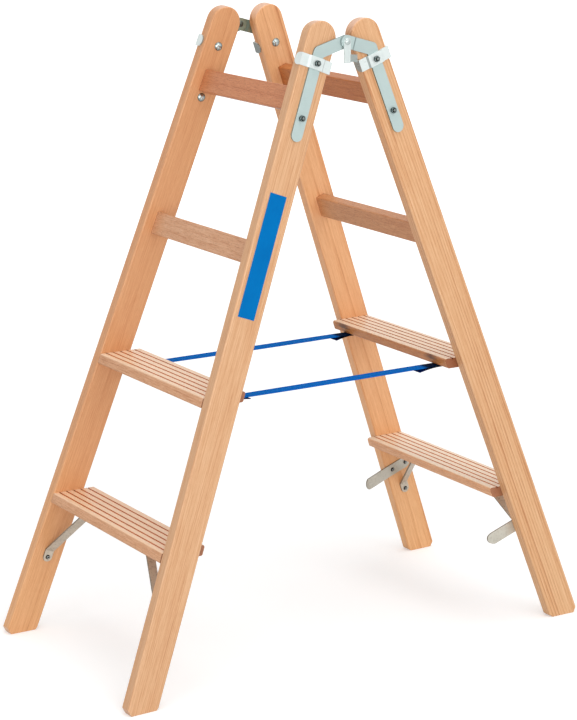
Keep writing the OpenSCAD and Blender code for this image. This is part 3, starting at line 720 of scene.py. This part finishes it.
def webbing(name):
    """Woven strap: ribs across and along the ribbon from its own map, a paler middle line, fuzzy tone, and
    painted shade on the underside, on the doubled tail and on a stretch where it goes under the rear tread."""
    material, tree, shader, coords = shader_tree(name)
    flat = parts(tree, put(tree, "UVMap", uv_map="own").outputs["UV"])
    along, across = flat["X"], flat["Y"]
    slant = plus(tree, along, times(tree, across, 0.6))
    warp = math_of(tree, "SINE", times(tree, across, 2 * math.pi / WARP_PITCH))
    weft = math_of(tree, "SINE", times(tree, slant, 2 * math.pi / WEFT_PITCH))
    lift = span(tree, times(tree, warp, weft), -1, 1, 0, 1)
    fuzz = noise(tree, coords["Object"], (600, 600, 600), 1.0, 0.6)
    tone = weigh(tree, lift, 0.6, fuzz)
    colour = ramp(tree, tone, [(0.15, (0, 80, 164)), (0.55, (0, 104, 196)), (0.9, (6, 122, 212))])
    core = span(tree, size_of(tree, across), *CORE_FADE, 0.5, 0.0)
    colour = mixed(tree, "MIX", core, colour, linear(40, 124, 206))
    beyond = parts(tree, coords["Object"])["X"]
    # Painted shade on the stretch by and under the rear tread
    under_tread_shade = span(tree, beyond, TREAD_EDGE_X - STRAP_SHADE_FROM, TREAD_EDGE_X - STRAP_SHADE_TO, 0.0, 1.0)
    colour = tinted(tree, colour, under_tread_shade, UNDER_TREAD_SHADE_TINT)
    # Painted shade on the doubled tail
    colour = tinted(tree, colour, math_of(tree, "GREATER_THAN", along, STRAP_END_X), TAIL_SHADE_TINT)
    # Painted shade on faces that look down
    down = span(tree, parts(tree, coords["Normal"])["Z"], -0.5, 0.1, 1.0, 0.0)
    colour = tinted(tree, colour, down, UNDERSIDE_SHADE_TINT)
    tree.links.new(colour, shader.inputs["Base Color"])
    tree.links.new(spread(tree, fuzz, 0.75, 0.9), shader.inputs["Roughness"])
    shader.inputs["Specular IOR Level"].default_value = 0.04
    emboss(tree, shader, lift, 0.5, 0.0003)
    return material


def thread(name):
    """Sewing thread: twisted strands along its length, from object coordinates."""
    material, tree, shader, coords = shader_tree(name)
    twist = noise(tree, coords["Object"], (2600, 900, 2600), 2.0, 0.5, 1.0)
    colour = ramp(tree, twist, [(0.3, (6, 52, 120)), (0.7, (40, 112, 196))])
    tree.links.new(colour, shader.inputs["Base Color"])
    tree.links.new(spread(tree, twist, 0.5, 0.7), shader.inputs["Roughness"])
    return material


def film(name):
    """Plain printed film: even blue with faint roller marks, small scuffs in its gloss, and a slight
    ripple."""
    material, tree, shader, coords = shader_tree(name)
    cloud = noise(tree, coords["Object"], (30, 30, 30), 5.0)
    scuff = noise(tree, coords["Object"], (700, 700, 90), 6.0, 0.6)
    colour = ramp(tree, weigh(tree, cloud, 0.7, scuff), [(0.3, (0, 104, 173)), (0.7, (0, 112, 181))])
    tree.links.new(colour, shader.inputs["Base Color"])
    tree.links.new(span(tree, scuff, 0.35, 0.7, 0.40, 0.55), shader.inputs["Roughness"])
    shader.inputs["Specular IOR Level"].default_value = 0.04
    emboss(tree, shader, cloud, 0.1, 0.0004)
    return material


# The inner and edge tints below paint shade and dark reflections
arm_zinc = steel("arm_zinc", (188, 205, 203), (180, 198, 196), 0.36, 1.0, inner=(0.50, 0.48, 0.36, 1.0),
                 edge=("Y", 0.95, 0.82, (0.50, 0.52, 0.52, 1.0)))
band_zinc = steel("band_zinc", (226, 234, 232), (215, 225, 223), 0.30, 11.0, inner=(0.44, 0.45, 0.44, 1.0))
brace_zinc = steel("brace_zinc", (214, 203, 186), (196, 184, 167), 0.40, 5.0, (30, 700, 30),
                   edge=("X", 0.6, 0.85, (0.42, 0.38, 0.34, 1.0)), speckle=0.6)
guide_zinc = steel("guide_zinc", (210, 207, 195), (194, 190, 177), 0.40, 7.0, (700, 30, 30),
                   edge=("Y", 0.8, 0.5, (0.40, 0.36, 0.30, 1.0)), speckle=0.25)
pin_steel = steel("pin_steel", (206, 216, 214), (176, 188, 186), 0.20, 8.0, (300, 300, 300),
                  inner=(0.16, 0.16, 0.13, 1.0))
# Profile ramps: the dark end paints shade and dark reflections, the bright end a highlight
nut_steel = fastener("nut_steel", [(0.0, (26, 30, 30)), (0.3, (42, 50, 50)), (0.6, (72, 86, 86)),
                                   (1.0, (150, 166, 164))], 0.20)
bolt_steel = fastener("bolt_steel", [(0.0, (30, 30, 28)), (0.4, (66, 70, 68)), (0.65, (160, 170, 167)),
                                     (1.0, (226, 233, 231))], 0.14)
screw_steel = fastener("screw_steel", [(0.0, (22, 22, 22)), (0.45, (50, 48, 45)), (0.7, (150, 153, 149)),
                                       (1.0, (236, 240, 238))], 0.20)
label_film = film("label_film")
strap_cloth = webbing("strap_webbing")
strap_thread = thread("strap_thread")

# Finish of each node whose name holds the word
NODE_FINISHES = {
    "hinge_band": band_zinc,
    "latch_": band_zinc,
    "hinge_arm": arm_zinc,
    "hinge_pin": pin_steel,
    "brace_near": brace_zinc,
    "brace_far": brace_zinc,
    "guide_bar": guide_zinc,
    "stile_label": label_film,
    "strap_near": strap_cloth,
    "strap_far": strap_cloth,
}
for name, node in nodes.items():
    for word, finish in NODE_FINISHES.items():
        if word in name:
            node.data.materials[0] = finish


# Fasteners

def profile_map(tones, turns):
    """Own map of a round piece: the angle as a share of a turn, and a tone for each ring of the profile."""
    tones = np.asarray(tones, float)[:, None] + np.zeros(turns)
    return np.stack([np.linspace(0, 1, turns)[None, :] + 0 * tones, tones], -1)


def nut_shape(turns=72):
    """Hexagon nut from base to bore: six flats, corners cut by a 30 degree cone, a flat ring and a bevelled
    bore."""
    a = circle(turns)
    hexagon = NUT_FLATS / 2 / np.cos((a + math.pi / 6) % (math.pi / 3) - math.pi / 6)
    ring = NUT_FLATS / 2 * NUT_RING
    drop = (hexagon - ring) * math.tan(math.radians(30))
    bore = BOLT_D / 2 + BORE_GAP
    mouth = bore + BORE_BEVEL
    radii = [bore, ring, hexagon, hexagon, ring, mouth, bore, bore]
    heights = [0, 0, drop, NUT_H - drop, NUT_H, NUT_H, NUT_H - BORE_BEVEL, 0]
    # Tones: painted shade at the base and in the bore, a painted highlight on the top ring
    tones = [0, 0, 0.15, 0.6, 0.95, 0.5, 0.1, 0]
    r, z = (np.stack([row + 0 * a for row in rows]) for rows in (radii, heights))
    return np.stack([r * np.cos(a), r * np.sin(a), z], -1), profile_map(tones, turns)


def thread_shape(start, end, turns=28, rows=40):
    """Threaded shank: radius less a triangle wave that climbs one pitch per turn, with a tapered tip and both
    ends closed on the axis."""
    a = circle(turns)
    z = np.linspace(start, end, rows)[:, None]
    wave = np.abs(((z / THREAD_PITCH - a / (2 * math.pi)) % 1.0) * 2 - 1)
    r = BOLT_D / 2 - THREAD_DEPTH * wave - np.clip(z - (end - THREAD_TAPER), 0, None)
    shank = np.stack([r * np.cos(a), r * np.sin(a), z + 0 * a], -1)
    on_axis = np.array([0.0, 0.0, 1.0])
    grid = np.concatenate([shank[:1] * on_axis, shank, shank[-1:] * on_axis])
    # Tones: painted shade along the thread, lighter towards the end face
    tones = np.concatenate([[0.1], np.linspace(0.1, 0.5, rows), [0.6]])
    return grid, profile_map(tones, turns)


def carriage_shape():
    """Domed bolt head below the origin plane, with a rounded rim and a short neck above it."""
    half, head = BOLT_D / 2, BOLT_HEAD_D / 2
    rim = np.array([[0, NECK], [half, NECK], [half, 0], [head - HEAD_ROUND, 0], [head, -HEAD_ROUND]])
    dome = dome_profile(head, BOLT_HEAD_H - HEAD_BAND) * np.array([1, -1]) - np.array([0, HEAD_BAND])
    grid = revolve(np.concatenate([rim, dome]))
    # Tones: painted shade round the neck and rim, a painted highlight towards the top of the dome
    tones = np.concatenate([[0, 0, 0, 0.1, 0.3], np.linspace(0.5, 1.0, len(dome))])
    return grid, profile_map(tones, grid.shape[1])


def screw_shape(rows=22, turns=64):
    """Pan head on a polar grid: a dome, as a power of one less a power of the radius, with a cross recess
    cut where x or y is near zero, shallower outwards, and a short neck above the origin plane."""
    s = np.linspace(1.0, 0.0, rows)[:, None]
    a = circle(turns)
    r = SCREW_HEAD_D / 2 * s
    dome = SCREW_HEAD_H * (1 - s ** 2.6) ** 0.55
    x, y = r * np.cos(a), r * np.sin(a)
    near = np.minimum(np.abs(x), np.abs(y)) / SLOT_HALF
    reach = np.maximum(np.abs(x), np.abs(y)) / SLOT_REACH
    recess = np.clip(1.6 - near, 0, 1) * np.clip(1.25 * (1 - reach), 0, 1)
    recess = np.maximum(recess, np.clip(1.0 - r / SLOT_HUB, 0, 1) + 0 * a)
    top = np.stack([x, y, -(dome - SLOT_DEEP * recess)], -1)
    half, under = SCREW_D / 2, SCREW_HEAD_D / 2 * 0.99
    foot = revolve([(0, SCREW_NECK), (half, SCREW_NECK), (half, 0), (under, 0)], turns)
    # Tones: painted shade round the rim, a painted highlight towards the middle
    tones = np.concatenate([np.zeros(len(foot)), np.clip((1 - s[:, 0]) * 1.6, 0, 1)])
    flat = profile_map(tones, turns)
    # Painted shade in the cross recess
    flat[len(foot):, :, 1] *= 1 - np.clip(1.5 * recess, 0, 1)
    return np.concatenate([foot, top]), flat


def on_stiles(shape, rear, places, lift):
    """Copies of a shape on the inner faces of both stiles of a section, each at (depth, length), lifted off
    the face."""
    grid, flat = shape
    copies = []
    for far in (False, True):
        depth, thick, length, origin = stile_axes(rear, far)
        for w, u in places:
            at = origin + w * depth + (STILE_THICK / 2 + lift) * thick + u * length
            copies.append((turned(grid, -thick, length, at), flat))
    return copies


def under_tread(shape, x, y, z):
    """Two copies of a shape below a tread, with the axis up, on either side of its middle."""
    grid, flat = shape
    return [(turned(grid, (0, 0, 1), (1, 0, 0), np.array([x, at, z])), flat) for at in (-y, y)]


def make_set(name, copies, material, smooth=True):
    """One piece from all the copies of a fastener, with their own maps."""
    return make_piece(name, [(grid, False, True) for grid, _ in copies], material,
                      [flat for _, flat in copies], smooth)


def dress(piece, body, slot, *replaced):
    """Rides a piece on its body and hides the solids that it stands for; slot is not used."""
    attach(piece, body)
    if replaced:
        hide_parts(*replaced)
    return piece


for end, rear in (("front", False), ("rear", True)):
    body = end + "_section"
    side = 1.0 if rear else -1.0
    nuts, bolts = [], []
    for key, u in BOLT_US.items():
        grip = BOLT_GRIPS[key]
        grid, flat = nut_shape()
        shank = thread_shape(grip - THREAD_PITCH, grip + NUT_H + THREAD_END)
        nuts += on_stiles((grid + np.array([0, 0, grip]), flat), rear, [(0.0, u)], 0.0)
        bolts += on_stiles(carriage_shape(), rear, [(0.0, u)], 0.0)
        bolts += on_stiles(shank, rear, [(0.0, u)], 0.0)
    dress(make_set(end + "_nut_set", nuts, nut_steel, False), body, "zinc_steel", end + "_hinge_nuts")
    dress(make_set(end + "_bolt_set", bolts, bolt_steel), body, "zinc_steel", end + "_carriage_bolts")

    brace_x = side * (FOOT_X - UNDER_Z[0] * math.tan(TILT))
    brace_y = inner_y(UNDER_V[0]) - BRACE_REACH
    heads = on_stiles(screw_shape(), rear, [(0.0, BRACE_U)], PLATE)
    heads += under_tread(screw_shape(), brace_x, brace_y, UNDER_Z[0] - PLATE)
    dress(make_set(end + "_brace_screw_set", heads, screw_steel), body, "zinc_steel", end + "_brace_screws")

    heads = under_tread(screw_shape(), side * STRAP_SCREW_X, STRAP_Y, UNDER_Z[1] - STRAP_STACK)
    dress(make_set(end + "_strap_screw_set", heads, screw_steel), body, "zinc_steel", end + "_strap_screws")

heads = on_stiles(screw_shape(), True, [(-GUIDE_SCREWS / 2, GUIDE_U), (GUIDE_SCREWS / 2, GUIDE_U)], PLATE)
dress(make_set("rear_guide_screw_set", heads, screw_steel), "rear_section", "zinc_steel", "rear_guide_screws")


# Straps

def ribbon(line, tilt, width, thick, turns=20):
    """Flat strap: an oval with tight edges (powers of the cosine and the sine) carried along a line in the
    x-z plane, turned about it by tilt, and closed at both ends."""
    step = np.gradient(line, axis=0)
    step = step / np.linalg.norm(step, axis=1, keepdims=True)
    up = np.stack([-step[:, 2], 0 * step[:, 1], step[:, 0]], -1)
    across = np.array([0.0, 1.0, 0.0])
    a = circle(turns)
    flat = np.sign(np.cos(a)) * np.abs(np.cos(a)) ** 0.35 * width / 2
    high = np.sign(np.sin(a)) * np.abs(np.sin(a)) ** 0.55 * thick / 2
    lean = tilt[:, None]
    y = flat * np.cos(lean) - high * np.sin(lean)
    h = flat * np.sin(lean) + high * np.cos(lean)
    points = line[:, None, :] + y[..., None] * across + h[..., None] * up[:, None, :]
    run = np.concatenate([[0], np.cumsum(np.linalg.norm(np.diff(line, axis=0), axis=1))])
    uv = np.stack([run[:, None] + 0 * a, flat + 0 * run[:, None]], -1)
    first, last = (ring.mean(1, keepdims=True) + 0 * ring for ring in (points[:1], points[-1:]))
    return np.concatenate([first, points, last]), np.concatenate([uv[:1], uv, uv[-1:]])


def strap_line(side, fold, droop):
    """Middle line of half a strap from the ladder's middle outwards: a slight sag, flat under the tread, a
    tight turn at the end, and the doubled tail back below, which hangs a little lower towards its free end.
    The first two rows lie close together, so that the shading of the end stays out of the strap's face."""
    top = UNDER_Z[1] - STRAP_GAP - STRAP_THICK / 2 - STRAP_CLEAR
    turn_x = STRAP_END_X - STRAP_THICK
    out = np.concatenate([FIRST_ROWS, np.linspace(NEXT_ROW, turn_x, STRAP_ROWS - len(FIRST_ROWS))])
    sag = -STRAP_SAG * np.clip(1 - (out / TREAD_EDGE_X) ** 2, 0, None)
    a = np.linspace(0, math.pi, 10)[1:-1]
    back = np.linspace(turn_x, TREAD_EDGE_X - fold, 50)
    beyond = np.clip((TREAD_EDGE_X - back) / fold, 0, 1)
    x = np.concatenate([out, turn_x + STRAP_TURN * np.sin(a), back])
    tail = top - 2 * STRAP_TURN - droop * beyond ** 1.6
    z = np.concatenate([top + sag, top - STRAP_TURN + STRAP_TURN * np.cos(a), tail])
    return np.stack([side * x, 0 * x, z], -1)


def strap_lean(line, side):
    """Turn of the ribbon about its line: most in the ladder's middle, none from the tread's edge on."""
    lean = side * STRAP_LEAN * np.clip(1 - (line[:, 0] / TREAD_EDGE_X) ** 4, 0, 1)
    return lean * (np.arange(len(line)) < STRAP_ROWS)


def stitch_places(side, y):
    """Middles of the stitches: four rows of six across the strap, from under the tread to past its edge."""
    low = UNDER_Z[1] - STRAP_GAP - 2 * STRAP_THICK - STITCH_DROP
    along = np.linspace(TREAD_EDGE_X + STITCH_FROM, TREAD_EDGE_X - STITCH_TO, 4)
    across = np.linspace(-STITCH_ASIDE, STITCH_ASIDE, 6)
    return [(side * x, y + aside, low) for x in along for aside in across]


def stitch_grids(places):
    """Stitches as small spindles along x: radius swells as the square root of a sine from end to end."""
    s = np.linspace(0, 1, 7)[:, None]
    a = circle(8)
    r = STITCH_R * np.sqrt(np.clip(np.sin(math.pi * s), 0, 1))
    shape = np.stack([STITCH_HALF * (2 * s - 1) + 0 * a, r * np.cos(a), 0.6 * r * np.sin(a)], -1)
    return [(shape + np.array(p), False, True) for p in places]


for far, at in ((False, "near"), (True, "far")):
    y = STRAP_Y if far else -STRAP_Y
    for end, rear in (("front", False), ("rear", True)):
        side = 1.0 if rear else -1.0
        fold = STRAP_FOLD[end] * (FAR_REAR_SHARE if far and rear else 1.0)
        line = strap_line(side, fold, STRAP_DROOP[end]) + np.array([0, y, 0])
        points, uv = ribbon(line, strap_lean(line, side), STRAP_W, STRAP_THICK)
        half = make_piece(f"{end}_strap_{at}", [(points, False, True)], strap_cloth, [uv])
        dress(half, end + "_section", "webbing", "strap_" + at)
        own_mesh(half)

        seam = make_piece(f"{end}_strap_stitches_{at}", stitch_grids(stitch_places(side, y)), strap_thread)
        dress(seam, end + "_section", "webbing")
        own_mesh(seam)


# Studio

FLOOR_HALF = 40
FLOOR_DROP = 0.0005
FLOOR_COLOUR = (0.82, 0.82, 0.82, 1.0)
SKY_LEVEL = 0.56

# Lamps: place, aim, width in metres and power in watts
LAMPS = {
    "key_light": ((0.6, -4.4, 2.9), (0.0, 0.0, 0.4), 4.0, 54),
    "low_light": ((-2.0, -4.2, 0.9), (0.0, 0.0, 0.4), 2.4, 64),
    "side_light": ((-4.0, -2.0, 2.0), (0.0, 0.0, 0.5), 2.4, 24),
    "top_light": ((0.3, -0.6, 4.8), (0.0, 0.0, 0.5), 3.5, 70),
}

# Camera: azimuth, elevation and roll in degrees, target and distance in metres, focal length in pixels
CAMERA_TURN = (-32.14, 13.97, -0.15)
CAMERA_TARGET = (-0.03239, -0.03977, 0.53399)
CAMERA_DISTANCE = 4.37718
FOCAL_PIXELS = 2352.44
PICTURE_HEIGHT = 720
SENSOR_MM = 24.0


def white_to_eye(tree):
    """One for camera, glossy and transmission rays, zero for the rest."""
    path = put(tree, "LightPath").outputs
    seen = math_of(tree, "MAXIMUM", path["Is Camera Ray"], path["Is Glossy Ray"])
    return math_of(tree, "MAXIMUM", seen, path["Is Transmission Ray"])


def floor_material():
    """Pale matt floor that takes shadows, with some of its own light towards the eye, more of it far from the
    ladder, so that it reads as white."""
    material, tree, shader, coords = shader_tree("pale_floor")
    away = put(tree, "VectorMath", {0: coords["Object"]}, operation="LENGTH").outputs["Value"]
    seen = put(tree, "LightPath").outputs["Is Camera Ray"]
    glow = times(tree, seen, span(tree, away, 1.0, 5.0, 0.34, 0.80))
    shader.inputs["Base Color"].default_value = FLOOR_COLOUR
    shader.inputs["Roughness"].default_value = 1.0
    shader.inputs["Specular IOR Level"].default_value = 0.0
    shader.inputs["Emission Color"].default_value = (1.0, 1.0, 1.0, 1.0)
    tree.links.new(glow, shader.inputs["Emission Strength"])
    return material


def lay_floor():
    """Flat square sheet just below height zero."""
    s = np.linspace(-FLOOR_HALF, FLOOR_HALF, 3)
    x, y = np.meshgrid(s, s, indexing="ij")
    sheet = np.stack([x, y, 0 * x - FLOOR_DROP], -1)
    floor = make_piece("floor", [(sheet, False, False)], floor_material(), smooth=False, closed=False)


def light_world():
    """Even white surround: full white to the eye, and a softer level for the light that it gives."""
    world = bpy.data.worlds.new("studio")
    bpy.context.scene.world = world
    world.use_nodes = True
    tree = world.node_tree
    tree.nodes.clear()
    level = span(tree, white_to_eye(tree), 0, 1, SKY_LEVEL, 1.0)
    sky = put(tree, "Background", {"Color": (1, 1, 1, 1), "Strength": level})
    put(tree, "OutputWorld", {"Surface": sky.outputs[0]})


def soft_box(name, place, aim, size, power):
    """Square area lamp at place, turned towards aim."""
    lamp = bpy.data.lights.new(name, "AREA")
    lamp.energy = power
    lamp.size = size
    holder = bpy.data.objects.new(name, lamp)
    holder.location = place
    holder.rotation_euler = (Vector(aim) - Vector(place)).to_track_quat("-Z", "Y").to_euler()
    bpy.context.scene.collection.objects.link(holder)


def set_camera():
    """Camera at the photograph's angle: azimuth, elevation and roll about a target, at a fixed distance."""
    azimuth, elevation, roll = (math.radians(x) for x in CAMERA_TURN)
    right = np.array([math.cos(azimuth), math.sin(azimuth), 0.0])
    away = np.array([math.sin(azimuth), -math.cos(azimuth), 0.0])
    back = away * math.cos(elevation) + np.array([0.0, 0.0, math.sin(elevation)])
    up = np.cross(back, right)
    level = right * math.cos(roll) + up * math.sin(roll)
    upright = np.cross(back, level)
    place = np.array(CAMERA_TARGET) + CAMERA_DISTANCE * back
    camera = bpy.data.cameras.new("camera")
    camera.sensor_fit = "VERTICAL"
    camera.sensor_height = SENSOR_MM
    camera.lens = FOCAL_PIXELS / PICTURE_HEIGHT * SENSOR_MM
    camera.clip_end = 200.0
    holder = bpy.data.objects.new("camera", camera)
    turn = Matrix([list(level), list(upright), list(back)]).transposed().to_4x4()
    holder.matrix_world = Matrix.Translation(Vector(list(place))) @ turn
    bpy.context.scene.collection.objects.link(holder)
    bpy.context.scene.camera = holder


lay_floor()
light_world()
for name, lamp in LAMPS.items():
    soft_box(name, *lamp)
set_camera()
bpy.context.scene.view_settings.view_transform = "Standard"
